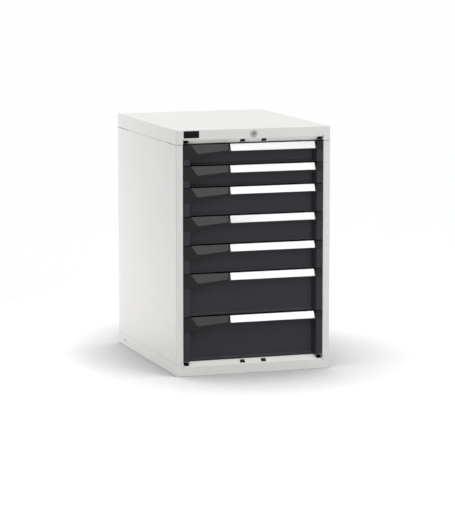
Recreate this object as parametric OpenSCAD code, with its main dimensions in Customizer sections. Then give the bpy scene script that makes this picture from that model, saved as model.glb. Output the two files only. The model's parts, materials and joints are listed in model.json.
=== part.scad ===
// Floor-standing workshop drawer cabinet: a folded sheet carcass, seven drawers on two-stage
// roller slides, and a front lock whose long shaft lifts a bar behind all the drawers.
// Millimetres. The origin is on the floor under the middle, the front faces -Y and +Z is up.

/* [Cabinet] */
// Width over the side panels
cabinet_w = 564; // [540:1:900]
// Depth from the front plane to the back panel
cabinet_d = 725; // [715:1:800]
// Sheet thickness of the carcass
sheet_t = 1.5; // [1:0.1:2]
// Inside radius of the carcass folds
fold_r = 1.5; // [1:0.1:2.5]
// Width of the front posts
post_w = 25.5; // [24:0.5:30]
// Depth of the fold behind each post
post_return = 20; // [10:1:26]
// Width of the side panels' rear flange
rear_flange = 24; // [18:1:30]
// Height of the cover's rims
cover_h = 50; // [46:1:60]
// Height of the base pan's rims
base_h = 45; // [40:1:60]
// Open seam under the cover
cover_seam = 1.6; // [0.5:0.1:1.9]
// Open seam over the base pan
base_seam = 0.5; // [0.3:0.1:1.5]
// Room between the cover's rim and the drawer stack
cover_room = 0.5; // [0.5:0.5:6]
// Room between the base pan's rim and the drawer stack
base_room = 6; // [4:0.5:10]
// How far the sides tuck in behind the cover's and the base pan's rims
tuck_h = 15; // [8:1:18]

/* [Front rails] */
// Height and depth of the sloping fold of the top and bottom rails
bevel = 15; // [13:0.5:16]
// Depth of the lip behind the slope
bevel_lip = 12; // [6:1:13]
// Width of the accessory slots in each slope
slot_w = 16; // [8:0.5:24]
// Length of the accessory slots up the slope
slot_l = 12; // [6:0.5:14]
// Distance between the middle slots
slot_pitch = 78; // [50:1:120]
// Distance of the outer slots from the ends of the slope
slot_end = 4; // [3:0.5:10]
// Rim of each slot cap around its slot
cap_rim = 0.8; // [0.5:0.1:1.5]
// Thickness of a slot cap's head
cap_t = 0.8; // [0.5:0.1:1.5]
// Radius of the relief holes at the ends of the folds
relief_r = 1.8; // [1:0.1:3]

/* [Drawers] */
// Front pitch of the two top drawers
small_h = 75; // [75:25:125]
// Front pitch of the three middle drawers
medium_h = 100; // [75:25:150]
// Front pitch of the last drawer but one
large_h = 150; // [75:25:250]
// Front pitch of the bottom drawer
bottom_h = 156; // [75:1:250]
// Gap between drawer fronts
front_gap = 3; // [2:0.5:4]
// Gap between a drawer front and the posts
side_gap = 2; // [1:0.5:4]
// Sheet thickness of the drawer fronts
front_t = 1.2; // [0.8:0.1:1.5]
// Inside radius of the folds of the drawer fronts
front_r = 1; // [0.5:0.1:1.5]
// Width of the raised stile at each end of a front
stile_w = 22; // [18:0.5:30]
// How far the panel lies behind the stiles
recess = 24; // [22:0.5:26]
// How far the walls of the recess lean in towards the panel
wall_lean = 10; // [4:0.5:14]
// Height and depth of the sloping foot of the panel
foot_bevel = 8; // [5:0.5:12]
// Height of the foot above the bottom of the stiles
foot_rise = 0; // [0:0.5:8]

/* [Handles] */
// Height of the sloping label face
lip_h = 26.5; // [24:0.5:29]
// How far the label face leans back at its top
lip_set = 11; // [8:0.5:12]
// Height of the grip's flush left end
grip_h = 49.5; // [44:0.5:54]
// Width of the moulded grip at the left
grip_w = 166; // [120:1:200]
// Height of the flush right end
cap_h = 29.5; // [28:0.5:36]
// Left edge of the thumb facet at its top, from the front's left end
facet_top_x = 27; // [24:1:34]
// Left edge of the thumb facet at its foot, from the front's left end
facet_foot_x = 49; // [40:1:60]
// Height of the thumb facet at its left
facet_h_left = 30.7; // [28:0.1:33]
// Height of the thumb facet at its right
facet_h_right = 22; // [20:0.1:26]
// Slope of the thumb facet
facet_slope = 20; // [14:0.5:21]
// Land between the thumb facet and the label face
facet_land = 4; // [2:0.5:6]
// Radius of the thumb facet's lower corners
facet_r = 6; // [2:0.5:10]
// Wall of the handle in front of the fingers
grip_wall = 3.5; // [2.5:0.1:4]
// Web of the handle over and behind the fingers
grip_web = 3; // [2:0.1:4]
// Depth of the finger gap below the top of the handle
finger_top = 10; // [8:0.5:12]
// Thickness of the label plate
label_t = 1; // [0.6:0.1:1.5]
// Border of the label face above the plate
label_border = 0.6; // [0.4:0.1:2]
// Border of the label face below the plate
label_foot = 2.5; // [0.5:0.1:4]
// Land at each end of the label plate
label_end = 5.5; // [2:0.5:8]
// Radius of the label plate's corners
label_r = 3; // [1:0.5:4]

/* [Trays] */
// Wall and floor thickness of the trays
tray_t = 1; // [0.8:0.1:1.5]
// Height of a tray's floor above its pitch line
tray_rise = 8; // [6:0.5:10]
// Drop of a tray's rim below the next pitch line
tray_drop = 12; // [8:0.5:15]
// Space behind the trays
tray_rear_room = 85; // [76:1:100]
// Room for the welds between the sheets of a tray
weld_gap = 0.05; // [0.03:0.01:0.1]

/* [Slides] */
// Travel of a drawer
drawer_travel = 600; // [540:5:610]
// Thickness of the slide channels
slide_t = 1.5; // [1:0.1:2]
// Height of the slide channels
slide_h = 30; // [26:0.5:32]
// Depth of the slide channels
slide_w = 11.5; // [10:0.5:13]
// Thickness of the carriage bar
bar_t = 3; // [2:0.5:4]
// Height of the carriage bar
bar_h = 23; // [18:0.5:24]
// Running gap between the carriage bar and the channels
slide_play = 0.5; // [0.4:0.1:1]
// Gap between a roller and the flanges it runs on
roller_play = 0.2; // [0.1:0.05:0.4]
// End play of the rollers
roller_end_play = 0.4; // [0.3:0.1:0.6]
// Radius of the roller pins
pin_r = 4; // [3:0.5:5]
// Running clearance of the pins and the lock parts
running_fit = 0.05; // [0.02:0.01:0.1]
// Radius of the heads that keep the rollers on
pin_head_r = 6; // [5.2:0.1:8]
// Thickness of those heads
pin_head_t = 1; // [0.6:0.1:1.5]
// Set-back of the channels from the front plane
rail_front = 30; // [28:1:34]
// Set-back of the channels from the back of the cabinet
rail_rear = 65; // [58:1:72]
// Set-back of the carriage bars behind the channels' front end
carriage_set = 2; // [1:0.5:4]
// Space between the carriage bars and the back of the channels
carriage_rear = 68; // [60:1:80]
// Distance of the end pins from the ends of a carriage bar
pin_end = 14; // [12:0.5:20]
// Length of channel left beyond a roller at full travel
roller_margin = 16; // [8:1:24]
// Height of the slide's middle above the tray's floor
slide_rise = 25; // [20:0.5:28]

/* [Uprights] */
// Depth of the hat-section uprights inside the side panels
upright_d = 22; // [20:0.5:26]
// Width of an upright's web
upright_w = 24; // [18:1:32]
// Width of an upright's lips
upright_lip = 12; // [8:1:16]
// Distance of the front uprights' slots from the front
upright_set = 54; // [46:1:60]
// Distance of the rear uprights' slots from the back
rear_set = 70; // [66:1:74]
// Pitch of the hook slots
hook_pitch = 25; // [20:5:50]
// Width of a hook slot
hook_w = 3.5; // [2:0.5:6]
// Height of a hook slot
hook_l = 12; // [8:1:16]
// Distance of the side panels' slots from their ends
side_slot_end = 26; // [18:1:40]

/* [Lock] */
// Height of the lock below the top of the cabinet
lock_drop = 19; // [18:0.5:24]
// Radius of the lock's flange
flange_r = 13.5; // [12:0.5:15]
// How far the flange and the rear screw heads stand proud
trim_proud = 2; // [1.2:0.1:3]
// Radius of the lock's barrel
barrel_r = 11; // [9.5:0.5:13]
// Rim of the lock nut around the barrel, at its corners
nut_rim = 2; // [1.8:0.1:2.4]
// Length of the barrel behind the front plane
barrel_l = 28; // [20:1:34]
// Radius of the plug that the key turns
plug_r = 7; // [5:0.5:8]
// Width of the keyway
key_w = 1.8; // [1:0.1:2.5]
// Height of the keyway
key_h = 8; // [5:0.5:9]
// Radius of the lock shaft
shaft_r = 4; // [3:0.5:5]
// Throw of the crank
crank_r = 8; // [6:0.5:9]
// Radius of the crank pin
crank_pin_r = 3; // [2:0.5:3.5]
// Clearance of the crank pin in the bar
crank_play = 0.5; // [0.4:0.1:0.8]
// Thickness of the crank arm
crank_t = 4; // [3:0.5:5]
// Width of the locking bar
lock_bar_w = 30; // [28:1:40]
// Thickness of the locking bar
lock_bar_t = 3; // [2:0.5:4]
// Space behind the locking bar
lock_bar_gap = 4; // [3:0.5:6]
// Clearance of the bar in its guides
guide_play = 0.3; // [0.2:0.05:0.5]
// Height of the bar guides
guide_h = 16; // [10:1:24]
// Width of the bar's lugs
lug_w = 16; // [10:1:24]
// Height of the fingers on the lugs
finger_h = 12; // [12:0.5:14]
// Gap over the fingers while the drawers are free
finger_gap = 2; // [1:0.5:3]
// Width of the catch on each tray
catch_w = 28; // [20:1:40]
// Length of the catch behind the tray
catch_l = 24; // [20:1:28]
// Thickness of the catch
catch_t = 1.5; // [1:0.1:2]
// Height of the catch above the tray's floor
catch_rise = 40; // [38:1:44]

/* [Fittings] */
// Width of the bare badge plate
badge_w = 55; // [30:1:90]
// Height of the bare badge plate
badge_h = 24; // [12:1:26]
// Thickness of the badge plate
badge_t = 1; // [0.5:0.1:1.2]
// Distance of the badge plate from the cabinet's left side
badge_x = 28; // [10:1:60]
// Distance of the badge plate from the cabinet's top
badge_z = 4; // [4:0.5:6]
// Radius of the floor bolt holes
bolt_r = 6; // [4:0.5:8]
// Distance between the floor bolts across the cabinet
bolt_x = 400; // [300:1:440]
// Distance between the floor bolts along the cabinet
bolt_y = 500; // [400:1:520]
// Radius of the linking hole in each side of the base pan
link_r = 4.5; // [3:0.5:5]
// Height of the linking hole
link_z = 23.5; // [20:0.5:25]
// Distance of the linking hole from the back of the cabinet
link_y = 84; // [83:1:92]
// Radius of the rear screws' shanks
screw_r = 2; // [1.5:0.1:2.5]
// Radius of the rear screws' heads
screw_head_r = 4.5; // [4:0.1:6]
// Length of the rear screws
screw_l = 10; // [6:1:16]
// Clearance of the screws in their holes
screw_play = 0.15; // [0.1:0.05:0.4]
// Distance of the end screws from the back panel's ends
screw_end = 40; // [20:1:80]
// Margin of the back panel inside the side panels
back_margin = 2; // [1:0.5:4]

/* [Hidden] */
$fn = 48;
fold_step = 15;
eps = 0.01;
over = 1;
heights = [small_h, small_h, medium_h, medium_h, medium_h, large_h, bottom_h];
count = len(heights);
function above(n) = n <= 1 ? 0 : heights[n - 2] + above(n - 1);
stack_z0 = base_h + base_room;
stack_z1 = stack_z0 + above(count + 1);
cabinet_h = stack_z1 + cover_room + cover_h;
function top_z(n) = stack_z1 - above(n);
function bottom_z(n) = top_z(n + 1);

front_y = -cabinet_d / 2;
back_y = cabinet_d / 2;
half_w = cabinet_w / 2;
skin_in = half_w - sheet_t;
back_in = back_y - sheet_t;
open_half = half_w - post_w;
panel_z0 = base_h + base_seam;
panel_z1 = cabinet_h - cover_h - cover_seam;
edge_r = fold_r + sheet_t;

front_half = open_half - side_gap;
panel_half = front_half - stile_w;
lean_half = panel_half - wall_lean;
panel_y = front_y + recess;
front_back = panel_y + front_t;

upright_x = skin_in - upright_d;
slide_total = 2 * slide_w + 2 * slide_play + bar_t;
tray_half = upright_x - slide_total;
tray_y1 = back_y - tray_rear_room;
carriage_x = upright_x - slide_w - slide_play - bar_t;
rail_y0 = front_y + rail_front;
rail_y1 = back_y - rail_rear;
carriage_y0 = rail_y0 + carriage_set;
carriage_y1 = rail_y1 - carriage_rear;
roller_r = slide_h / 2 - slide_t - roller_play;
roller_w = slide_play + slide_w - slide_t - pin_head_t - 3 * roller_end_play;
outer_pins = [rail_y0 + drawer_travel / 2 + roller_r + roller_margin, carriage_y1 - pin_end];
inner_pins = [carriage_y0 + pin_end, tray_y1 - drawer_travel / 2 - roller_r - roller_margin];
function floor_z(n) = bottom_z(n) + tray_rise;
function slide_z(n) = floor_z(n) + slide_rise;

upright_y0 = front_y + upright_set + upright_lip / 2 + upright_w / 2;
upright_y1 = back_y - rear_set - upright_lip / 2 - upright_w / 2;
screw_x = skin_in - rear_flange / 2;
screw_zs = [for (i = [0 : 3]) panel_z0 + screw_end + i * (panel_z1 - panel_z0 - 2 * screw_end) / 3];

lock_z = cabinet_h - lock_drop;
lock_bar_y1 = back_in - lock_bar_gap;
lock_bar_y0 = lock_bar_y1 - lock_bar_t;
crank_y1 = lock_bar_y0 - slide_play;
crank_y0 = crank_y1 - crank_t;
crank_lift = crank_r * sqrt(2);
crank_dx = -crank_r / sqrt(2);
crank_dz = -crank_r / sqrt(2);
pin_slot_r = crank_pin_r + crank_play;
lock_bar_top = lock_z + crank_dz + pin_slot_r + sheet_t + lock_bar_t;
plug_face = front_y - trim_proud + running_fit;
plug_end = front_y + barrel_l + slide_play + bar_t;
function catch_z(n) = floor_z(n) + catch_rise;
function catch_foot(n) = catch_z(n) - catch_t - finger_h;
function lug_top(n) = catch_foot(n) - finger_gap - finger_h;
lug_y0 = tray_y1 + catch_l - catch_t / 2 - finger_gap - lock_bar_t;

carcass_colour = [0.84, 0.84, 0.83];
front_colour = [0.17, 0.18, 0.2];
plastic_colour = [0.12, 0.12, 0.12];
label_colour = [0.95, 0.95, 0.95];
steel_colour = [0.72, 0.73, 0.74];

// Extrusions of a flat outline along one axis
module along_x(x0, x1) {
    translate([x0, 0, 0])
        rotate([90, 0, 90])
            linear_extrude(x1 - x0)
                children();
}

module along_y(y0, y1) {
    translate([0, y1, 0])
        rotate([90, 0, 0])
            linear_extrude(y1 - y0)
                children();
}

module along_z(z0, z1) {
    translate([0, 0, z0])
        linear_extrude(z1 - z0)
            children();
}

module both_sides() {
    children();
    mirror([1, 0, 0])
        children();
}

// A box given by its low and high corners
module block(low, high) {
    translate(low)
        cube(high - low);
}

// A cylinder along Y from y0 to y1 around (x, z)
module rod_y(x, z, r, y0, y1) {
    translate([x, y1, z])
        rotate([90, 0, 0])
            cylinder(r = r, h = y1 - y0);
}

function heading(a, b) = atan2(b[1] - a[1], b[0] - a[0]);
function wrap(a) = a > 180 ? a - 360 : a < -180 ? a + 360 : a;
function fold_angle(p, i) = wrap(heading(p[i], p[i + 1]) - heading(p[i - 1], p[i]));
function polar(r, a) = [r * cos(a), r * sin(a)];
function reversed(v) = [for (i = [len(v) - 1 : -1 : 0]) v[i]];
function mirrored(v) = [for (q = v) [-q[0], q[1]]];

// Points of one fold, d to the left of the path p at its corner i, on an arc of middle radius mid
function fold_points(p, i, d, mid) =
    let (
        turn = fold_angle(p, i),
        side = sign(turn),
        ahead = heading(p[i - 1], p[i]),
        start = p[i] - polar(mid * tan(abs(turn) / 2), ahead),
        centre = start + polar(side * mid, ahead + 90),
        steps = round(abs(turn) / fold_step)
    )
    [for (k = [0 : steps]) centre + polar(mid - side * d, ahead - side * 90 + turn * k / steps)];

// One face of a folded sheet, d to the left of its middle line p
function fold_side(p, d, mid) =
    let (last = len(p) - 1)
    concat(
        [p[0] + polar(d, heading(p[0], p[1]) + 90)],
        [for (i = [1 : last - 1]) each fold_points(p, i, d, mid)],
        [p[last] + polar(d, heading(p[last - 1], p[last]) + 90)]
    );

// A folded sheet seen end on: p is its middle line, t its thickness, r the inside radius of its folds
module folded(p, t, r) {
    mid = r + t / 2;
    polygon(concat(fold_side(p, t / 2, mid), reversed(fold_side(p, -t / 2, mid))));
}

// A rectangle from low to high with round corners, only the two lower ones when half is true
module round_rect(low, high, r, half = false) {
    top = half ? high[1] : high[1] - r;
    translate([low[0], low[1] + r])
        square([high[0] - low[0], top - low[1] - r]);
    translate([low[0] + r, low[1]])
        square([high[0] - low[0] - 2 * r, high[1] - low[1]]);
    for (x = [low[0] + r, high[0] - r]) {
        translate([x, low[1] + r])
            circle(r);
        if (!half)
            translate([x, high[1] - r])
                circle(r);
    }
}

// Side panel at +X: post, skin and rear flange folded from one sheet, with tucked edges inside
module side_panel() {
    skin = half_w - sheet_t / 2;
    post = open_half + sheet_t / 2;
    front = front_y + sheet_t / 2;
    rear = back_in - sheet_t / 2;
    tuck_y0 = upright_y0 + upright_w / 2 + 2 * upright_lip;
    tuck_y1 = upright_y1 - upright_w / 2 - 2 * upright_lip;
    difference() {
        union() {
            along_z(panel_z0, panel_z1)
                folded([[post, front_y + post_return], [post, front], [skin, front], [skin, rear],
                        [skin - rear_flange, rear]], sheet_t, fold_r);
            for (z = [panel_z0, panel_z1])
                block([skin_in - sheet_t, tuck_y0, z - tuck_h], [skin_in, tuck_y1, z + tuck_h]);
            for (z = [panel_z0, panel_z1 - tuck_h])
                block([skin_in - sheet_t, tuck_y0, z], [skin, tuck_y1, z + tuck_h]);
        }
        for (y = [front_y + upright_set, back_y - rear_set],
             z = [panel_z0 + side_slot_end, panel_z1 - side_slot_end])
            block([skin_in - eps, y - hook_w / 2, z - hook_l / 2],
                  [half_w + over, y + hook_w / 2, z + hook_l / 2]);
        for (z = screw_zs)
            rod_y(screw_x, z, screw_r + screw_play, back_in - 2 * sheet_t, back_in + over);
    }
}

module right_side_panel() {
    color(carcass_colour)
        side_panel();
}

module left_side_panel() {
    color(carcass_colour)
        mirror([1, 0, 0])
            side_panel();
}

module back_panel() {
    color(carcass_colour)
        difference() {
            block([-half_w + back_margin, back_in, panel_z0], [half_w - back_margin, back_y, panel_z1]);
            for (s = [-1, 1], z = screw_zs)
                rod_y(s * screw_x, z, screw_r + screw_play, back_in - over, back_y + over);
        }
}

// Places of the accessory slots across a rail
outer_slot = open_half - slot_end - slot_w / 2;
slots = [-outer_slot, -slot_pitch / 2, slot_pitch / 2, outer_slot];

// Height where the front of a rail bends back, for a drawer stack that starts at stack_h
function bend_z(stack_h) = stack_h - front_gap / 2 - sheet_t / 2 - bevel;

// Stands its children on the middle of the slope, with +Z square to the sheet and towards the front
module on_slope(stack_h, x) {
    translate([x, front_y + sheet_t / 2 + bevel / 2, bend_z(stack_h) + bevel / 2])
        rotate([45, 0, 0])
            children();
}

// A folded pan standing on its plate, with a front rail that slopes back to the drawers
module rail_pan(rim_h, stack_h) {
    bend = bend_z(stack_h);
    root = bend - 2 * edge_r;
    front = front_y + sheet_t / 2;
    difference() {
        intersection() {
            along_z(0, rim_h)
                round_rect([-half_w, front_y], [half_w, back_y], edge_r);
            along_y(front_y, back_y)
                round_rect([-half_w, 0], [half_w, rim_h], edge_r, half = true);
            along_x(-half_w, half_w)
                round_rect([front_y, 0], [back_y, rim_h], edge_r, half = true);
        }
        block([-skin_in, front_y + sheet_t, sheet_t], [skin_in, back_in, rim_h + over]);
        block([-open_half, front_y - over, root], [open_half, front_y + sheet_t + over, rim_h + over]);
        for (s = [-1, 1])
            rod_y(s * open_half, bend, relief_r, front_y - over, front_y + sheet_t + over);
    }
    difference() {
        along_x(-open_half, open_half)
            folded([[front, root], [front, bend], [front + bevel, bend + bevel],
                    [front + bevel + bevel_lip, bend + bevel]], sheet_t, fold_r);
        for (x = slots)
            on_slope(stack_h, x)
                cube([slot_w, slot_l, 4 * sheet_t], center = true);
        for (s = [-1, 1])
            rod_y(s * open_half, bend, relief_r, front_y - over, front_y + edge_r);
    }
}

module base_pan() {
    color(carcass_colour)
        difference() {
            rail_pan(base_h, stack_z0);
            for (x = [-bolt_x / 2, bolt_x / 2], y = [-bolt_y / 2, bolt_y / 2])
                translate([x, y, -over])
                    cylinder(r = bolt_r, h = sheet_t + 2 * over);
            for (x = [-half_w - over, skin_in - over])
                translate([x, back_y - link_y, link_z])
                    rotate([0, 90, 0])
                        cylinder(r = link_r, h = sheet_t + 2 * over);
        }
}

module top_cover() {
    color(carcass_colour)
        difference() {
            translate([0, 0, cabinet_h])
                mirror([0, 0, 1])
                    rail_pan(cover_h, cabinet_h - stack_z1);
            rod_y(0, lock_z, barrel_r + running_fit, front_y - over, front_y + sheet_t + over);
        }
}

// The four caps of one rail: a head on the slope and a plug in each slot
module rail_caps(stack_h) {
    head = [slot_w / 2 + cap_rim, slot_l / 2 + cap_rim];
    plug = [slot_w / 2 - running_fit, slot_l / 2 - running_fit];
    for (x = slots)
        on_slope(stack_h, x) {
            block([-head[0], -head[1], sheet_t / 2], [head[0], head[1], sheet_t / 2 + cap_t]);
            block([-plug[0], -plug[1], -sheet_t], [plug[0], plug[1], sheet_t / 2]);
        }
}

module slot_caps() {
    color(plastic_colour) {
        rail_caps(stack_z0);
        translate([0, 0, cabinet_h])
            mirror([0, 0, 1])
                rail_caps(cabinet_h - stack_z1);
    }
}

// Hat-section upright at +X around y, with a row of hook slots in its web
module upright(y) {
    lip = skin_in - sheet_t / 2;
    web = upright_x + sheet_t / 2;
    y0 = y - upright_w / 2 + sheet_t / 2;
    y1 = y + upright_w / 2 - sheet_t / 2;
    hooks = floor((panel_z1 - panel_z0) / hook_pitch) - 1;
    difference() {
        along_z(sheet_t, panel_z1)
            folded([[lip, y0 - upright_lip], [lip, y0], [web, y0],
                    [web, y1], [lip, y1], [lip, y1 + upright_lip]], sheet_t, fold_r);
        for (i = [1 : hooks])
            translate([web, y, panel_z0 + i * hook_pitch])
                cube([2 * sheet_t, hook_w, hook_l], center = true);
    }
}

module front_uprights() {
    color(carcass_colour)
        both_sides()
            upright(upright_y0);
}

module rear_uprights() {
    color(carcass_colour)
        both_sides()
            upright(upright_y1);
}

// Slide channel with its back at x and its open side towards +X, from y0 to y1
module channel(x, z, y0, y1) {
    back = x + slide_t / 2;
    tip = x + slide_w;
    rise = slide_h / 2 - slide_t / 2;
    along_y(y0, y1)
        translate([0, z])
            folded([[tip, rise], [back, rise], [back, -rise], [tip, -rise]], slide_t, slide_t);
}

module left_cabinet_rails() {
    color(steel_colour)
        for (n = [1 : count])
            channel(-upright_x, slide_z(n), rail_y0, rail_y1);
}

module right_cabinet_rails() {
    color(steel_colour)
        mirror([1, 0, 0])
            for (n = [1 : count])
                channel(-upright_x, slide_z(n), rail_y0, rail_y1);
}

// The channels on a tray's sides and the catch on its back that the locking bar holds
module drawer_rails(n) {
    root = tray_y1 + catch_t / 2;
    rise = catch_z(n) - catch_t / 2;
    color(steel_colour) {
        both_sides()
            channel(tray_half, slide_z(n), rail_y0, tray_y1);
        along_x(-catch_w / 2, catch_w / 2)
            folded([[root, catch_foot(n)], [root, rise], [tray_y1 + catch_l, rise],
                    [tray_y1 + catch_l, catch_foot(n)]], catch_t, catch_t);
    }
}

// A pin with its head, standing on the carriage bar along +Z
module roller_pin() {
    cylinder(r = pin_r, h = roller_w + 2 * roller_end_play);
    translate([0, 0, roller_w + 2 * roller_end_play])
        cylinder(r = pin_head_r, h = pin_head_t);
}

module roller() {
    translate([0, 0, roller_end_play])
        difference() {
            cylinder(r = roller_r, h = roller_w);
            translate([0, 0, -over])
                cylinder(r = pin_r + running_fit, h = roller_w + 2 * over);
        }
}

// Carriage at +X: its bar with four pins, and the rollers that turn on them
module carriage(n) {
    z = slide_z(n);
    union() {
        block([carriage_x, carriage_y0, z - bar_h / 2], [carriage_x + bar_t, carriage_y1, z + bar_h / 2]);
        for (y = outer_pins)
            translate([carriage_x + bar_t, y, z])
                rotate([0, 90, 0])
                    roller_pin();
        for (y = inner_pins)
            translate([carriage_x, y, z])
                rotate([0, -90, 0])
                    roller_pin();
    }
    for (y = outer_pins)
        translate([carriage_x + bar_t, y, z])
            rotate([0, 90, 0])
                roller();
    for (y = inner_pins)
        translate([carriage_x, y, z])
            rotate([0, -90, 0])
                roller();
}

module drawer_carriages(n) {
    color(steel_colour)
        both_sides()
            carriage(n);
}

// Tray of five welded sheets: a floor, two sides, and the front and rear walls between them
module drawer_tray(n) {
    low = floor_z(n);
    rest = low + tray_t + weld_gap;
    high = top_z(n) - tray_drop;
    inner = tray_half - tray_t;
    color(front_colour) {
        block([-tray_half, front_back, low], [tray_half, tray_y1, low + tray_t]);
        both_sides()
            block([inner, front_back, rest], [tray_half, tray_y1, high]);
        for (y = [front_back, tray_y1 - tray_t])
            block([-inner + weld_gap, y, rest], [inner - weld_gap, y + tray_t, high]);
    }
}

// Front folded from one sheet: raised stiles, leaning walls, a recessed panel and a sloping foot
module drawer_front(n) {
    low = bottom_z(n) + front_gap / 2;
    high = top_z(n) - front_gap / 2;
    side = front_half - front_t / 2;
    wall = panel_half + front_t / 2;
    front = front_y + front_t / 2;
    panel = panel_y + front_t / 2;
    foot = low + foot_rise + front_t / 2;
    crease = foot + foot_bevel;
    plan = [[side, front_back], [side, front], [wall, front], [wall - wall_lean, panel]];
    hollow = [[wall, front], [wall - wall_lean, panel], [wall - wall_lean, front_back]];
    color(front_colour) {
        difference() {
            along_z(low, high)
                folded(concat(mirrored(plan), reversed(plan)), front_t, front_r);
            block([-lean_half, panel_y - front_r - eps, low - over],
                  [lean_half, front_back + over, crease + 2 * front_r]);
            handle_end_room([-front_half - over, high - grip_h], [-lean_half + front_r, high + over]);
            handle_end_room([lean_half - front_r, high - cap_h], [front_half + over, high + over]);
        }
        intersection() {
            along_x(-panel_half, panel_half)
                folded([[panel, crease + 2 * front_r], [panel, crease], [panel - foot_bevel, foot],
                        [front_back, foot]], front_t, front_r / 2);
            along_z(low, high)
                polygon(concat(mirrored(hollow), reversed(hollow)));
        }
    }
}

// Clears a stile where an end of the handle takes its place
module handle_end_room(low, high) {
    keep = front_t + 2 * front_r;
    outer = [low[0] < 0 ? low[0] : low[0] + keep, low[0] < 0 ? high[0] - keep : high[0]];
    block([low[0], front_y - over, low[1]], [high[0], panel_y, high[1]]);
    block([outer[0], front_y - over, low[1]], [outer[1], front_back + over, high[1]]);
}

// Lower edge of the grip: an easy curve from the flush left end up to the label face
grip_x0 = -panel_half;
grip_x1 = -front_half + grip_w;
grip_steps = 10;
function ease(t) = (1 - cos(180 * t)) / 2;
grip_edge = [for (i = [grip_steps : -1 : 0]) let (t = i / grip_steps)
    [grip_x0 + t * (grip_x1 - grip_x0), -grip_h + ease(t) * (grip_h - lip_h)]];

// Outline of the handle from the front, down from its top edge
handle_outline = concat(
    [[-front_half, 0], [front_half, 0], [front_half, -cap_h], [panel_half, -cap_h], [panel_half, -lip_h]],
    grip_edge,
    [[-front_half, -grip_h]]
);

// Removes what lies in front of the sloping thumb facet
module facet_cut() {
    foot = -front_half + facet_foot_x;
    right = grip_x1 - facet_land;
    tilt = atan2(facet_h_left - facet_h_right, right - foot);
    edge = [[-front_half + facet_top_x, over], [foot, -facet_h_left], [right, -facet_h_right],
            [right + facet_land, over]];
    intersection() {
        along_y(-over, recess)
            polygon(fold_side(edge, 0, facet_r));
        translate([foot, 0, -facet_h_left])
            rotate([0, -tilt, 0])
                rotate([-facet_slope, 0, 0])
                    block([-facet_foot_x, -recess, -recess], [2 * grip_w, 0, 3 * grip_h]);
    }
}

// Moulded handle across the front: flush ends, a thumb facet, a sloping label face and a finger gap
module drawer_handle(n) {
    color(plastic_colour)
        translate([0, front_y, top_z(n) - front_gap / 2])
            difference() {
                along_y(0, recess)
                    polygon(handle_outline);
                along_x(grip_x1, panel_half)
                    polygon([[-over, -lip_h - over], [0, -lip_h], [lip_set, 0], [lip_set, over],
                             [-over, over]]);
                facet_cut();
                along_x(-panel_half, panel_half)
                    polygon([[grip_wall, -grip_h - over], [grip_wall, -lip_h - grip_wall],
                             [lip_set + grip_wall / 2, -finger_top], [recess - grip_web, -finger_top],
                             [recess - grip_web, -grip_h - over]]);
                label_plate(over);
            }
}

// The label plate in its seat on the label face, with a little more in front for cutting the seat
module label_plate(extra) {
    low = [grip_x1 + label_end, label_foot];
    high = [panel_half - label_end, norm([lip_set, lip_h]) - label_border];
    translate([0, 0, -lip_h])
        rotate([atan2(lip_h, lip_set), 0, 0])
            along_z(-label_t, extra)
                round_rect(low, high, label_r);
}

module drawer_label(n) {
    color(label_colour)
        translate([0, front_y, top_z(n) - front_gap / 2])
            label_plate(0);
}

module lock_barrel() {
    color(steel_colour)
        difference() {
            union() {
                rod_y(0, lock_z, flange_r - trim_proud / 2, front_y - trim_proud, front_y);
                rod_y(0, lock_z, flange_r, front_y - trim_proud / 2, front_y);
                rod_y(0, lock_z, barrel_r, front_y, front_y + barrel_l);
                translate([0, front_y + sheet_t + 2 * edge_r, lock_z])
                    rotate([90, 0, 0])
                        cylinder(r = barrel_r + nut_rim, h = 2 * edge_r, $fn = 6);
            }
            rod_y(0, lock_z, plug_r + running_fit, front_y - trim_proud - over, front_y + barrel_l + over);
        }
}

module lock_plug() {
    color(steel_colour)
        difference() {
            union() {
                rod_y(0, lock_z, plug_r, plug_face, plug_end);
                rod_y(0, lock_z, plug_r + sheet_t, plug_end - bar_t, plug_end);
            }
            block([-key_w / 2, plug_face - over, lock_z - key_h / 2],
                  [key_w / 2, front_y + barrel_l / 2, lock_z + key_h / 2]);
        }
}

// Long shaft from the lock to the crank that lifts the locking bar
module lock_shaft() {
    color(steel_colour) {
        rod_y(0, lock_z, shaft_r, plug_end, crank_y1);
        rod_y(0, lock_z, shaft_r + bar_t, crank_y0, crank_y1);
        translate([0, 0, lock_z])
            rotate([0, -45, 0])
                block([-crank_r, crank_y0, -crank_pin_r], [0, crank_y1, crank_pin_r]);
        rod_y(crank_dx, lock_z + crank_dz, crank_pin_r, crank_y0, lock_bar_y1 + sheet_t);
    }
}

// Bracket under the cover that carries the rear of the lock shaft
module shaft_bracket() {
    y = crank_y0 - 4 * bar_t;
    top = cabinet_h - sheet_t - bar_t / 2;
    color(steel_colour)
        difference() {
            along_x(-lock_bar_w / 2, lock_bar_w / 2)
                folded([[y, lock_z - 2 * shaft_r], [y, top], [y - lock_bar_w / 2, top]], bar_t, bar_t / 2);
            rod_y(0, lock_z, shaft_r + running_fit, y - bar_t, y + bar_t);
        }
}

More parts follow.
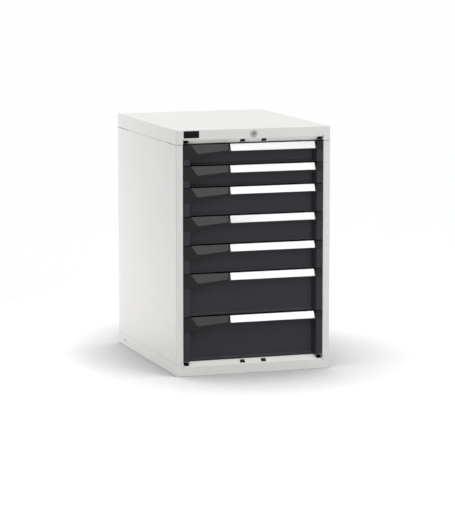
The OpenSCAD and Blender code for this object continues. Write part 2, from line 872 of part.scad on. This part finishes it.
// Bar behind the drawers, with a lug and an upturned finger for each tray
module locking_bar() {
    pin_z = lock_z + crank_dz;
    bottom = lug_top(count) - 2 * lug_w;
    color(steel_colour) {
        difference() {
            block([-lock_bar_w / 2, lock_bar_y0, bottom], [lock_bar_w / 2, lock_bar_y1, lock_bar_top]);
            for (x = [-crank_r, crank_dx])
                rod_y(x, pin_z, pin_slot_r, lock_bar_y0 - over, lock_bar_y1 + over);
            block([-crank_r, lock_bar_y0 - over, pin_z - pin_slot_r],
                  [crank_dx, lock_bar_y1 + over, pin_z + pin_slot_r]);
        }
        for (n = [1 : count]) {
            block([-lug_w / 2, lug_y0, lug_top(n) - lock_bar_t], [lug_w / 2, lock_bar_y0, lug_top(n)]);
            block([-lug_w / 2, lug_y0, lug_top(n)], [lug_w / 2, lug_y0 + lock_bar_t, lug_top(n) + finger_h]);
        }
    }
}

// Hat-shaped guides that hold the locking bar to the back panel
module bar_guides() {
    wall = lock_bar_w / 2 + guide_play + sheet_t / 2;
    strap = lock_bar_y0 - guide_play - sheet_t / 2;
    lip = back_in - sheet_t / 2;
    foot = wall + upright_lip;
    color(steel_colour)
        for (z = [top_z(2), top_z(count)])
            along_z(z - guide_h, z)
                folded([[-foot, lip], [-wall, lip], [-wall, strap], [wall, strap], [wall, lip], [foot, lip]],
                       sheet_t, guide_play / 2);
}

module badge_plate() {
    left = -half_w + badge_x;
    high = cabinet_h - badge_z;
    color(plastic_colour)
        along_y(front_y - badge_t, front_y)
            round_rect([left, high - badge_h], [left + badge_w, high], badge_t);
}

module back_screws() {
    color(steel_colour)
        for (s = [-1, 1], z = screw_zs) {
            rod_y(s * screw_x, z, screw_r, back_y - screw_l, back_y + trim_proud / 2);
            rod_y(s * screw_x, z, screw_head_r, back_y, back_y + trim_proud / 2);
            rod_y(s * screw_x, z, screw_head_r - trim_proud / 2, back_y, back_y + trim_proud);
        }
}

left_side_panel();
right_side_panel();
back_panel();
top_cover();
base_pan();
front_uprights();
rear_uprights();
left_cabinet_rails();
right_cabinet_rails();
lock_barrel();
lock_plug();
lock_shaft();
shaft_bracket();
locking_bar();
bar_guides();
badge_plate();
slot_caps();
back_screws();
for (n = [1 : count]) {
    drawer_tray(n);
    drawer_front(n);
    drawer_handle(n);
    drawer_label(n);
    drawer_rails(n);
    drawer_carriages(n);
}
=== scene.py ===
"""Looks of the workshop drawer cabinet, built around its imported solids. Metres, the front faces -Y."""
import json
import math

import bmesh
import bpy
from mathutils import Matrix, Vector


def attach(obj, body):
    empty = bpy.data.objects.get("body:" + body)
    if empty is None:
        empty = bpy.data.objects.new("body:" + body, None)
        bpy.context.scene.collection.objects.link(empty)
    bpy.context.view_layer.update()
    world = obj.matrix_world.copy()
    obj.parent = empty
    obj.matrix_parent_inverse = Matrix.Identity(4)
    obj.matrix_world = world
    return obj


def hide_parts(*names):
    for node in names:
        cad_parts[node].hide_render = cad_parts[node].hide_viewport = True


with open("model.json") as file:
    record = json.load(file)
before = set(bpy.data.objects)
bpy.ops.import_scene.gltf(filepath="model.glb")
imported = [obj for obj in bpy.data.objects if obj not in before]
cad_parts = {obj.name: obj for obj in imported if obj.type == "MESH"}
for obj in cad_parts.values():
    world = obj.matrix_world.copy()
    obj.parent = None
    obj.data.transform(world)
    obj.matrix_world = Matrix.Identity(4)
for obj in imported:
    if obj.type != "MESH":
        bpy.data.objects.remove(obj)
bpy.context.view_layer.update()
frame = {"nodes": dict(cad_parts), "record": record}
nodes = frame["nodes"]
scene = bpy.context.scene
scene.view_settings.view_transform = "Standard"

MM = 0.001
DRAWERS = range(1, 8)

# Camera: the photograph's view
CAMERA_AZIMUTH = -18.43
CAMERA_ELEVATION = 8.212
CAMERA_DISTANCE = 8.9825
CAMERA_TARGET = Vector((0.0246, 0.0, 0.3610))
FOCAL_PIXELS = 2482.5
IMAGE_LONG_SIDE = 512
SENSOR = 36.0
CLIP_END = 500.0

# Trays: sheet, divider slots in the walls, holes in the floor and the rolled hem on the rim
TRAY_T = 1.0 * MM
DIVIDER_PITCH = 17 * MM
SLOT_W = 3 * MM
SLOT_L = 24 * MM
SLOT_ROW_PITCH = 50 * MM
SLOT_RISE = 26 * MM
SLOT_END = 24 * MM
HOLE_R = 3 * MM
HOLE_PITCH = 68 * MM
HOLE_SIDES = 12
HEM_W = 4 * MM
HEM_H = 5 * MM
HEM_STEPS = 6

# Screws in the back: their heads and cross recesses
SCREW_HEAD_R = 4.5 * MM
SCREW_HEAD_H = 2.0 * MM
SCREW_SHANK_R = 2.0 * MM
SCREW_SHANK_L = 8.0 * MM
SCREW_ROWS = 4
SCREW_SIDES = 32
CROSS_ARM = 2.1 * MM
CROSS_HALF = 0.5 * MM
CROSS_DEPTH = 1.3 * MM
CROSS_TAPER = 0.8
# Crown of a head as shares of its radius and height, and the turn in degrees per row and column
SCREW_CROWN = ((1.0, 0.25), (0.93, 0.6), (0.77, 0.87), (0.56, 1.0))
SCREW_TURN = (37, 20)

# Lock: the turned bezel around the plug, with a groove between two raised rings, and its nut
PLUG_R = 7.0 * MM
PLUG_FIT = 0.05 * MM
BEZEL_PROUD = 2.0 * MM
BEZEL_GROOVE = 0.7 * MM
BEZEL_RING_W = 1.6 * MM
BEZEL_ROUND = 1.0 * MM
BEZEL_STEPS = 4
BARREL_R = 11.0 * MM
NUT_T = 3.0 * MM
NUT_RIM = 1.9 * MM
NUT_SIDES = 6
COVER_T = 1.5 * MM
LATHE_SIDES = 64

# Liners in the link holes of the base
LINER_FIT = 0.05 * MM
LINER_T = 0.4 * MM
LINER_LIP = 1.2 * MM
LINER_SIDES = 32

# Badge: the raised frame of the bare plate
BADGE_FRAME_W = 1.3 * MM
BADGE_FRAME_H = 0.4 * MM
BADGE_ROUND = 1.0 * MM
BADGE_STEPS = 5

# Stage: the floor's colour where it is seen, the painted shade that ambient occlusion lays on it where it
# meets the object, and its colour as it throws light back
FLOOR_HALF = 120.0
FLOOR_SEEN = (1.0, 1.0, 1.0)
# Painted shade: the colour that the floor is darkened to near the object, and how far that reaches
FLOOR_PAINTED_SHADE = (0.08, 0.08, 0.085)
FLOOR_BOUNCE = (0.8, 0.8, 0.8)
PAINTED_SHADE_REACH = 0.54

# The range that a noise texture mostly fills
NOISE_LOW = 0.3
NOISE_HIGH = 0.7


def view_direction(azimuth, elevation):
    """Unit vector from the object towards a viewer."""
    a, e = math.radians(azimuth), math.radians(elevation)
    return Vector((math.sin(a) * math.cos(e), -math.cos(a) * math.cos(e), math.sin(e)))


def aim(thing, target):
    """Turns a lamp or a camera, already in place, to look at a point."""
    thing.rotation_euler = (target - thing.location).to_track_quat("-Z", "Y").to_euler()


def make_camera():
    data = bpy.data.cameras.new("camera")
    data.sensor_width = SENSOR
    data.lens = FOCAL_PIXELS / IMAGE_LONG_SIDE * SENSOR
    data.clip_end = CLIP_END
    camera = bpy.data.objects.new("camera", data)
    scene.collection.objects.link(camera)
    camera.location = CAMERA_TARGET + CAMERA_DISTANCE * view_direction(CAMERA_AZIMUTH, CAMERA_ELEVATION)
    aim(camera, CAMERA_TARGET)
    scene.camera = camera


class Shader:
    """A node material with one principled shader, and short calls to add its textures."""

    def __init__(self, name):
        self.material = bpy.data.materials.new(name)
        self.material.use_nodes = True
        self.tree = self.material.node_tree
        self.principled = self.tree.nodes["Principled BSDF"]
        self.place = self.tree.nodes.new("ShaderNodeTexCoord").outputs["Object"]

    def add(self, kind, **values):
        node = self.tree.nodes.new("ShaderNode" + kind)
        for key, value in values.items():
            setattr(node, key, value)
        return node

    def link(self, output, target):
        self.tree.links.new(output, target)

    def set(self, **values):
        for key, value in values.items():
            name = key.replace("_", " ").title().replace("Ior", "IOR")
            self.principled.inputs[name].default_value = value

    def scaled_place(self, scale):
        node = self.add("Mapping")
        node.inputs["Scale"].default_value = scale
        self.link(self.place, node.inputs["Vector"])
        return node.outputs["Vector"]

    def noise(self, size, detail=2.0, rough=0.5, stretch=(1, 1, 1)):
        """Noise whose grains are about size metres wide, stretched along the axes given."""
        node = self.add("TexNoise")
        node.inputs["Scale"].default_value = 1.0
        node.inputs["Detail"].default_value = detail
        node.inputs["Roughness"].default_value = rough
        self.link(self.scaled_place([1 / (size * s) for s in stretch]), node.inputs["Vector"])
        return node.outputs["Fac"]

    def spread(self, value, low, high):
        """Maps a noise texture to the range from low to high."""
        node = self.add("MapRange")
        node.inputs["From Min"].default_value = NOISE_LOW
        node.inputs["From Max"].default_value = NOISE_HIGH
        node.inputs["To Min"].default_value = low
        node.inputs["To Max"].default_value = high
        self.link(value, node.inputs["Value"])
        return node.outputs["Result"]

    def mix(self, factor, first, second):
        """Mixes two colours, each a fixed colour or another node's output."""
        node = self.add("Mix", data_type="RGBA")
        for socket, colour in zip([s for s in node.inputs if s.type == "RGBA"], (first, second)):
            if isinstance(colour, bpy.types.NodeSocket):
                self.link(colour, socket)
            else:
                socket.default_value = (*colour, 1)
        self.link(factor, node.inputs["Factor"])
        return [s for s in node.outputs if s.type == "RGBA"][0]

    def tint(self, value, dark, light):
        """Mixes two colours by a noise texture."""
        return self.mix(self.spread(value, 0, 1), dark, light)

    def bump(self, height, depth, strength, after=None):
        node = self.add("Bump")
        node.inputs["Strength"].default_value = strength
        node.inputs["Distance"].default_value = depth
        self.link(height, node.inputs["Height"])
        if after is not None:
            self.link(after, node.inputs["Normal"])
        return node.outputs["Normal"]


def grey(value):
    return (value, value, value)


def powder_coat(name, dark, light, roughness, specular):
    """Fine-textured powder coat: a short grain over a long orange peel."""
    s = Shader(name)
    s.link(s.tint(s.noise(0.11, 3), dark, light), s.principled.inputs["Base Color"])
    s.link(s.spread(s.noise(0.05, 4), roughness - 0.04, roughness + 0.04),
           s.principled.inputs["Roughness"])
    peel = s.bump(s.noise(2.6 * MM, 1), 0.08 * MM, 0.6)
    grain = s.bump(s.noise(0.6 * MM, 2), 0.06 * MM, 0.8, after=peel)
    s.link(grain, s.principled.inputs["Normal"])
    s.set(specular_ior_level=specular)
    return s.material


def moulded_plastic(name, dark, light, roughness, specular):
    """Spark-eroded moulded plastic with a fine even grain."""
    s = Shader(name)
    s.link(s.tint(s.noise(0.03, 3), dark, light), s.principled.inputs["Base Color"])
    s.link(s.spread(s.noise(1.5 * MM, 2), roughness - 0.02, roughness + 0.02),
           s.principled.inputs["Roughness"])
    s.link(s.bump(s.noise(0.5 * MM, 2), 0.02 * MM, 0.4), s.principled.inputs["Normal"])
    s.set(specular_ior_level=specular)
    return s.material


def label_card():
    """White card behind a clear cover."""
    s = Shader("label_card")
    s.link(s.tint(s.noise(1.2 * MM, 4), grey(0.965), grey(0.985)), s.principled.inputs["Base Color"])
    s.link(s.spread(s.noise(6 * MM, 2), 0.5, 0.6), s.principled.inputs["Roughness"])
    s.link(s.bump(s.noise(9 * MM, 1), 0.05 * MM, 0.3), s.principled.inputs["Normal"])
    s.set(coat_weight=1.0, coat_roughness=0.15, coat_ior=1.6)
    return s.material


def plated_metal(name, dark, light, roughness, stretch):
    """Plated metal with a fine grain, drawn out along the axes given."""
    s = Shader(name)
    s.link(s.tint(s.noise(9 * MM, 4, 0.6), dark, light), s.principled.inputs["Base Color"])
    s.link(s.spread(s.noise(1.5 * MM, 3, 0.6, stretch), roughness - 0.08, roughness + 0.08),
           s.principled.inputs["Roughness"])
    s.link(s.bump(s.noise(0.6 * MM, 2, 0.6, stretch), 0.02 * MM, 0.4), s.principled.inputs["Normal"])
    s.set(metallic=1.0)
    return s.material


# Materials by slot: dark and light colour, roughness, then the specular level or the grain's stretch
MATERIALS = {
    "carcass": powder_coat("carcass_paint", (0.762, 0.753, 0.735), (0.768, 0.759, 0.741), 0.46, 0.4),
    "drawer_paint": powder_coat("drawer_paint", (0.032, 0.032, 0.0385), (0.035, 0.035, 0.0415), 0.5, 0.16),
    "handle_plastic": moulded_plastic("handle_plastic", grey(0.003), grey(0.0045), 0.24, 0.28),
    "trim_plastic": moulded_plastic("trim_plastic", grey(0.002), grey(0.0035), 0.42, 0.1),
    "label": label_card(),
    "zinc": plated_metal("zinc_plate", (0.52, 0.53, 0.54), (0.66, 0.66, 0.66), 0.36, (1, 14, 1)),
    "lock_metal": plated_metal("satin_nickel", (0.39, 0.39, 0.38), (0.46, 0.46, 0.45), 0.3, (1, 1, 1)),
    "lock_core": plated_metal("dark_nickel", (0.21, 0.21, 0.215), (0.27, 0.27, 0.275), 0.34, (1, 1, 1)),
}


# Rounding of the sharp edges left by paint, press or mould, by material
EDGE_WIDTH = {
    "carcass": 0.5 * MM,
    "drawer_paint": 0.4 * MM,
    "handle_plastic": 0.35 * MM,
    "trim_plastic": 0.25 * MM,
    "label": 0.1 * MM,
    "zinc": 0.2 * MM,
    "lock_metal": 0.25 * MM,
}

# Steps of the rounding, then in degrees what counts as sharp, flat and smooth, and the gap that is welded
EDGE_STEPS = 2
SHARP_ANGLE = 25
FLAT_ANGLE = 0.3
SMOOTH_ANGLE = 30
WELD_GAP = 1e-6


def soften(thing, width):
    """Rounds the sharp edges of a solid a little, as a press, a mould or paint leaves them."""
    weld = thing.modifiers.new("weld", "WELD")
    weld.merge_threshold = WELD_GAP
    flat = thing.modifiers.new("flat", "DECIMATE")
    flat.decimate_type = "DISSOLVE"
    flat.angle_limit = math.radians(FLAT_ANGLE)
    bevel = thing.modifiers.new("bevel", "BEVEL")
    bevel.width = width
    bevel.segments = EDGE_STEPS
    bevel.limit_method = "ANGLE"
    bevel.angle_limit = math.radians(SHARP_ANGLE)
    bevel.use_clamp_overlap = False
    bevel.harden_normals = True
    bevel.miter_outer = "MITER_ARC"


def dress_nodes():
    """Gives every CAD node its slot's material and rounded edges, and the lock's plug a darker metal."""
    for part in frame["record"]["subparts"]:
        thing = nodes[part["node"]]
        for place in thing.material_slots:
            place.material = MATERIALS[part["material_slot"]]
        soften(thing, EDGE_WIDTH[part["material_slot"]])
    for place in nodes["lock_plug"].material_slots:
        place.material = MATERIALS["lock_core"]


def box_of(name):
    """Low and high corner of a CAD node."""
    thing = nodes[name]
    corners = [thing.matrix_world @ Vector(c) for c in thing.bound_box]
    return (Vector([min(c[i] for c in corners) for i in range(3)]),
            Vector([max(c[i] for c in corners) for i in range(3)]))


def add_piece(name, bm, slot, body, stands_for=None):
    """Turns a mesh under construction into a finished piece that rides on a body."""
    mesh = bpy.data.meshes.new(name)
    bmesh.ops.recalc_face_normals(bm, faces=bm.faces)
    for face in bm.faces:
        face.smooth = True
    bm.to_mesh(mesh)
    bm.free()
    mesh.set_sharp_from_angle(angle=math.radians(SMOOTH_ANGLE))
    mesh.materials.append(MATERIALS[slot])
    piece = bpy.data.objects.new(name, mesh)
    scene.collection.objects.link(piece)
    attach(piece, body)
    if stands_for:
        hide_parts(stands_for)


def rectangle(u0, v0, u1, v1):
    return [(u0, v0), (u1, v0), (u1, v1), (u0, v1)]


def circle(u, v, r, sides):
    turns = [math.tau * k / sides for k in range(sides)]
    return [(u + r * math.cos(a), v + r * math.sin(a)) for a in turns]


def bridge(bm, a, b):
    """Joins two closed loops of equally many points by a band of faces."""
    count = len(a)
    for k in range(count):
        bm.faces.new((a[k], a[(k + 1) % count], b[(k + 1) % count], b[k]))


def add_placed(bm, part, place):
    """Puts a small mesh in its place by a matrix and adds it to a larger one."""
    bmesh.ops.transform(part, matrix=place, verts=part.verts)
    copy = bpy.data.meshes.new("copy")
    part.to_mesh(copy)
    part.free()
    bm.from_mesh(copy)
    bpy.data.meshes.remove(copy)


def add_sheet(bm, outline, holes, thickness, place):
    """Adds a flat sheet with holes to a mesh: outlines in its own plane, then the matrix that places it."""
    sheet = bmesh.new()
    for loop in [outline, *holes]:
        verts = [sheet.verts.new((u, v, 0)) for u, v in loop]
        for a, b in zip(verts, verts[1:] + verts[:1]):
            sheet.edges.new((a, b))
    bmesh.ops.triangle_fill(sheet, edges=sheet.edges[:], use_beauty=True)
    grown = bmesh.ops.extrude_face_region(sheet, geom=sheet.faces[:])["geom"]
    moved = [g for g in grown if isinstance(g, bmesh.types.BMVert)]
    bmesh.ops.translate(sheet, vec=(0, 0, thickness), verts=moved)
    add_placed(bm, sheet, place)


def standing(corner, along):
    """Matrix that stands a sheet on its lower edge at a corner, running along X or Y."""
    if along == "X":
        return Matrix.Translation(corner) @ Matrix(((1, 0, 0, 0), (0, 0, 1, 0), (0, 1, 0, 0), (0, 0, 0, 1)))
    return Matrix.Translation(corner) @ Matrix(((0, 0, 1, 0), (1, 0, 0, 0), (0, 1, 0, 0), (0, 0, 0, 1)))


def divider_slots(length, height):
    """Upright slots along a wall on the divider pitch, in as many rows as the wall has room for."""
    across = int((length - 2 * SLOT_END) / DIVIDER_PITCH)
    first = length / 2 - across * DIVIDER_PITCH / 2
    rows = max(1, int((height - SLOT_RISE - SLOT_L / 2) / SLOT_ROW_PITCH) + 1)
    slots = []
    for row in range(rows):
        v = SLOT_RISE + row * SLOT_ROW_PITCH
        for k in range(across + 1):
            u = first + k * DIVIDER_PITCH
            slots.append(rectangle(u - SLOT_W / 2, v - SLOT_L / 2, u + SLOT_W / 2, v + SLOT_L / 2))
    return slots


def floor_holes(width, depth):
    """Round holes on a square grid, centred on the tray's floor."""
    across, along = int(width / HOLE_PITCH), int(depth / HOLE_PITCH)
    holes = []
    for i in range(across):
        u = width / 2 + (i - (across - 1) / 2) * HOLE_PITCH
        for k in range(along):
            v = depth / 2 + (k - (along - 1) / 2) * HOLE_PITCH
            holes.append(circle(u, v, HOLE_R, HOLE_SIDES))
    return holes


def add_hem(bm, low, high):
    """Adds a rolled hem inside the rim of a tray, mitred at the corners."""
    r = HEM_W / 2
    turn = [math.pi * k / HEM_STEPS for k in range(HEM_STEPS + 1)]
    profile = [(0, -HEM_H)] + [(r - r * math.cos(a), r * math.sin(a) - r) for a in turn] + [(HEM_W, -HEM_H)]
    rings = []
    for d, drop in profile:
        corners = rectangle(low.x + d, low.y + d, high.x - d, high.y - d)
        rings.append([bm.verts.new((x, y, high.z + drop)) for x, y in corners])
    for a, b in zip(rings, rings[1:] + rings[:1]):
        bridge(bm, a, b)


def make_tray(n):
    """Drawer tray with slotted walls, a holed floor and a hemmed rim, in place of the plain CAD sheets."""
    node = "drawer_%d_tray" % n
    low, high = box_of(node)
    width, depth, height = high - low
    wall = height - TRAY_T - HEM_H / 2
    inner = width - 2 * TRAY_T
    bm = bmesh.new()
    add_sheet(bm, rectangle(0, 0, width, depth), floor_holes(width, depth), TRAY_T, Matrix.Translation(low))
    for x in (low.x, high.x - TRAY_T):
        add_sheet(bm, rectangle(0, 0, depth, wall), divider_slots(depth, wall), TRAY_T,
                  standing(Vector((x, low.y, low.z + TRAY_T)), "Y"))
    for y in (low.y, high.y - TRAY_T):
        add_sheet(bm, rectangle(0, 0, inner, wall), divider_slots(inner, wall), TRAY_T,
                  standing(Vector((low.x + TRAY_T, y, low.z + TRAY_T)), "X"))
    add_hem(bm, low, high)
    add_piece("drawer_%d_slotted_tray" % n, bm, "drawer_paint", "drawer_%d" % n, node)


def rounded(u0, v0, u1, v1, r):
    """Outline of a rectangle with round corners."""
    points = []
    for corner, (u, v) in enumerate(rectangle(u0 + r, v0 + r, u1 - r, v1 - r)):
        for k in range(BADGE_STEPS + 1):
            a = math.pi + math.pi / 2 * (corner + k / BADGE_STEPS)
            points.append((u + r * math.cos(a), v + r * math.sin(a)))
    return points


def make_badge_frame():
    """Raised frame round the face of the bare badge plate."""
    low, high = box_of("badge_plate")
    width, height = high.x - low.x, high.z - low.z
    w = BADGE_FRAME_W
    window = rounded(w, w, width - w, height - w, BADGE_ROUND / 2)
    corner = Vector((low.x, low.y - BADGE_FRAME_H, low.z))
    bm = bmesh.new()
    add_sheet(bm, rounded(0, 0, width, height, BADGE_ROUND), [window], BADGE_FRAME_H, standing(corner, "X"))
    add_piece("badge_frame", bm, "trim_plastic", "cabinet")


def add_lathe(bm, profile, place, sides):
    """Adds a ring turned about Y, from a closed profile of radius and y, then placed by a matrix."""
    rings = []
    for r, y in profile:
        rings.append([bm.verts.new(place @ Vector((u, y, v))) for u, v in circle(0, 0, r, sides)])
    for a, b in zip(rings, rings[1:] + rings[:1]):
        bridge(bm, a, b)


def make_lock_bezel():
    """Turned lock barrel with a grooved bezel and its nut, in place of the plain CAD barrel."""
    low, high = box_of("lock_barrel")
    axis = Matrix.Translation(((low.x + high.x) / 2, 0, (low.z + high.z) / 2))
    flange = (high.x - low.x) / 2
    bore = PLUG_R + PLUG_FIT
    face, sheet, g = low.y, low.y + BEZEL_PROUD, BEZEL_GROOVE
    ring = bore + g + BEZEL_RING_W
    turn = [math.pi / 2 * k / BEZEL_STEPS for k in range(BEZEL_STEPS + 1)]
    edge = [(flange - BEZEL_ROUND * (1 - math.sin(a)), face + BEZEL_ROUND * (1 - math.cos(a)))
            for a in turn]
    profile = [(bore, face + g), (bore + g, face), (ring, face), (ring + g / 2, face + g),
               (ring + g, face + g), (ring + 1.5 * g, face), *edge, (flange, sheet),
               (BARREL_R, sheet), (BARREL_R, high.y), (bore, high.y)]
    nut = sheet + COVER_T
    bm = bmesh.new()
    add_lathe(bm, profile, axis, LATHE_SIDES)
    add_lathe(bm, [(BARREL_R, nut), (BARREL_R + NUT_RIM, nut), (BARREL_R + NUT_RIM, nut + NUT_T),
                   (BARREL_R, nut + NUT_T)], axis, NUT_SIDES)
    add_piece("grooved_lock_bezel", bm, "lock_metal", "cabinet", "lock_barrel")


def make_link_liners():
    """Thin black liners in the holes that link cabinets side by side, with a lip behind the sheet."""
    bm = bmesh.new()
    for mount in frame["record"]["mounts"]:
        if mount["kind"] != "bore":
            continue
        outer = mount["dims"]["r_mm"] * MM - LINER_FIT
        inner, lip = outer - LINER_T, outer + LINER_LIP
        sheet = mount["dims"]["length_mm"] * MM / 2
        face, back = sheet - LINER_T / 2, -sheet - LINER_FIT
        profile = [(inner, face), (outer, face), (outer, back), (lip, back), (lip, back - 2 * LINER_T),
                   (inner, back - 2 * LINER_T)]
        turn = Vector((0, 1, 0)).rotation_difference(Vector(mount["axis"])).to_matrix().to_4x4()
        add_lathe(bm, profile, Matrix.Translation(mount["pos_m"]) @ turn, LINER_SIDES)
    add_piece("link_hole_liners", bm, "trim_plastic", "cabinet")


def screw_head(bm, place):
    """Adds one pan-head screw with a cross recess, standing along +Z."""
    screw = bmesh.new()
    half = CROSS_HALF
    arm = CROSS_ARM
    cross = [(arm, -half), (arm, half), (half, half), (half, arm), (-half, arm), (-half, half),
             (-arm, half), (-arm, -half), (-half, -half), (-half, -arm), (half, -arm), (half, -half)]
    profile = [(SCREW_SHANK_R, -SCREW_SHANK_L), (SCREW_SHANK_R, 0), (SCREW_HEAD_R, 0)]
    profile += [(r * SCREW_HEAD_R, h * SCREW_HEAD_H) for r, h in SCREW_CROWN]
    rings = [[screw.verts.new((x, y, z)) for x, y in circle(0, 0, r, SCREW_SIDES)] for r, z in profile]
    for a, b in zip(rings, rings[1:]):
        bridge(screw, a, b)
    screw.faces.new(rings[0])
    edge = [screw.verts.new((x, y, SCREW_HEAD_H)) for x, y in cross]
    floor = SCREW_HEAD_H - CROSS_DEPTH
    root = [screw.verts.new((CROSS_TAPER * x, CROSS_TAPER * y, floor)) for x, y in cross]
    loops = [screw.edges.new((a, b)) for a, b in zip(edge, edge[1:] + edge[:1])]
    rim = [screw.edges.get((a, b)) for a, b in zip(rings[-1], rings[-1][1:] + rings[-1][:1])]
    bmesh.ops.triangle_fill(screw, edges=loops + rim, use_beauty=True)
    bridge(screw, edge, root)
    screw.faces.new(root)
    add_placed(bm, screw, place)


def make_screws():
    """The back panel's screws with their cross recesses, each turned differently."""
    low, high = box_of("back_screws")
    bm = bmesh.new()
    for column, x in enumerate((low.x + SCREW_HEAD_R, high.x - SCREW_HEAD_R)):
        for row in range(SCREW_ROWS):
            z = low.z + SCREW_HEAD_R + row * (high.z - low.z - 2 * SCREW_HEAD_R) / (SCREW_ROWS - 1)
            turn = Matrix.Rotation(math.radians(SCREW_TURN[0] * row + SCREW_TURN[1] * column), 4, "Z")
            seat = Matrix.Translation((x, high.y - SCREW_HEAD_H, z))
            screw_head(bm, seat @ Matrix.Rotation(-math.pi / 2, 4, "X") @ turn)
    add_piece("cross_recess_screws", bm, "zinc", "cabinet", "back_screws")


def seen_directly(tree):
    """Value that is 1 where the camera, a mirror or glass looks, and 0 for scattered light."""
    path = tree.nodes.new("ShaderNodeLightPath")
    value = path.outputs["Is Camera Ray"]
    for name in ("Is Glossy Ray", "Is Transmission Ray"):
        more = tree.nodes.new("ShaderNodeMath")
        more.operation = "MAXIMUM"
        tree.links.new(value, more.inputs[0])
        tree.links.new(path.outputs[name], more.inputs[1])
        value = more.outputs[0]
    return value


def make_stage():
    """A plain white floor with painted shade where the object stands on it: ambient occlusion darkens its
    seen colour there.
    """
    bm = bmesh.new()
    bm.faces.new([bm.verts.new((x * FLOOR_HALF, y * FLOOR_HALF, 0)) for x, y in rectangle(-1, -1, 1, 1)])
    mesh = bpy.data.meshes.new("floor")
    bm.to_mesh(mesh)
    bm.free()
    s = Shader("floor")
    # Painted shade: ambient occlusion darkens the floor's seen colour near the object, on top of its real
    # shadows
    painted_shade_ao = s.add("AmbientOcclusion")
    painted_shade_ao.inputs["Distance"].default_value = PAINTED_SHADE_REACH
    seen_with_painted_shade = s.mix(painted_shade_ao.outputs["AO"], FLOOR_PAINTED_SHADE, FLOOR_SEEN)
    s.link(s.mix(seen_directly(s.tree), FLOOR_BOUNCE, seen_with_painted_shade), s.principled.inputs["Base Color"])
    s.set(roughness=0.9, specular_ior_level=0.0)
    mesh.materials.append(s.material)
    floor = bpy.data.objects.new("floor", mesh)
    scene.collection.objects.link(floor)


def make_world(dome):
    """White to the camera and in reflections, and a soft dome of the given strength as light."""
    world = bpy.data.worlds.new("world")
    scene.world = world
    world.use_nodes = True
    tree = world.node_tree
    strength = tree.nodes.new("ShaderNodeMapRange")
    strength.inputs["To Min"].default_value = dome
    strength.inputs["To Max"].default_value = 1.0
    tree.links.new(seen_directly(tree), strength.inputs["Value"])
    background = tree.nodes["Background"]
    background.inputs["Color"].default_value = (1, 1, 1, 1)
    tree.links.new(strength.outputs["Result"], background.inputs["Strength"])


def make_sun(name, azimuth, elevation, strength, spread):
    """A soft distant lamp that shines from a direction."""
    data = bpy.data.lights.new(name, "SUN")
    data.energy = strength
    data.angle = math.radians(spread)
    lamp = bpy.data.objects.new(name, data)
    scene.collection.objects.link(lamp)
    lamp.location = view_direction(azimuth, elevation)
    aim(lamp, Vector())


def make_softbox(name, place, target, size, power):
    """A soft lamp of a given width and height, out of the camera's sight, that looks at a point."""
    data = bpy.data.lights.new(name, "AREA")
    data.energy = power
    data.shape = "RECTANGLE"
    data.size, data.size_y = size
    lamp = bpy.data.objects.new(name, data)
    scene.collection.objects.link(lamp)
    lamp.location = place
    aim(lamp, Vector(target))
    lamp.visible_camera = False


make_camera()
make_stage()

# Soft studio light: a faint dome, broad distant lamps, and softboxes for the front and the left side
make_world(dome=0.14)
make_sun("overhead", azimuth=0, elevation=89, strength=2.08, spread=60)
make_sun("front", azimuth=18, elevation=46, strength=0.8, spread=45)
make_sun("front_low", azimuth=15, elevation=4, strength=0.08, spread=30)
make_sun("left", azimuth=-110, elevation=6, strength=0.1, spread=30)
make_softbox("key", place=(0.5, -1.9, 1.5), target=(-0.04, -0.36, 0.49), size=(0.8, 0.8), power=2.3)
make_softbox("front_right", place=(0.9, -1.2, 0.4), target=(0.25, -0.36, 0.4), size=(0.6, 0.6), power=1.1)
make_softbox("rear_left", place=(-0.9, 0.95, 0.40), target=(-0.28, 0.40, 0.40), size=(0.4, 1.9), power=6.6)
make_softbox("left_low", place=(-0.75, 0.1, 0.06), target=(-0.28, 0.1, 0.03), size=(1.0, 0.1), power=0.45)

dress_nodes()
for drawer in DRAWERS:
    make_tray(drawer)
make_screws()
make_badge_frame()
make_lock_bezel()
make_link_liners()
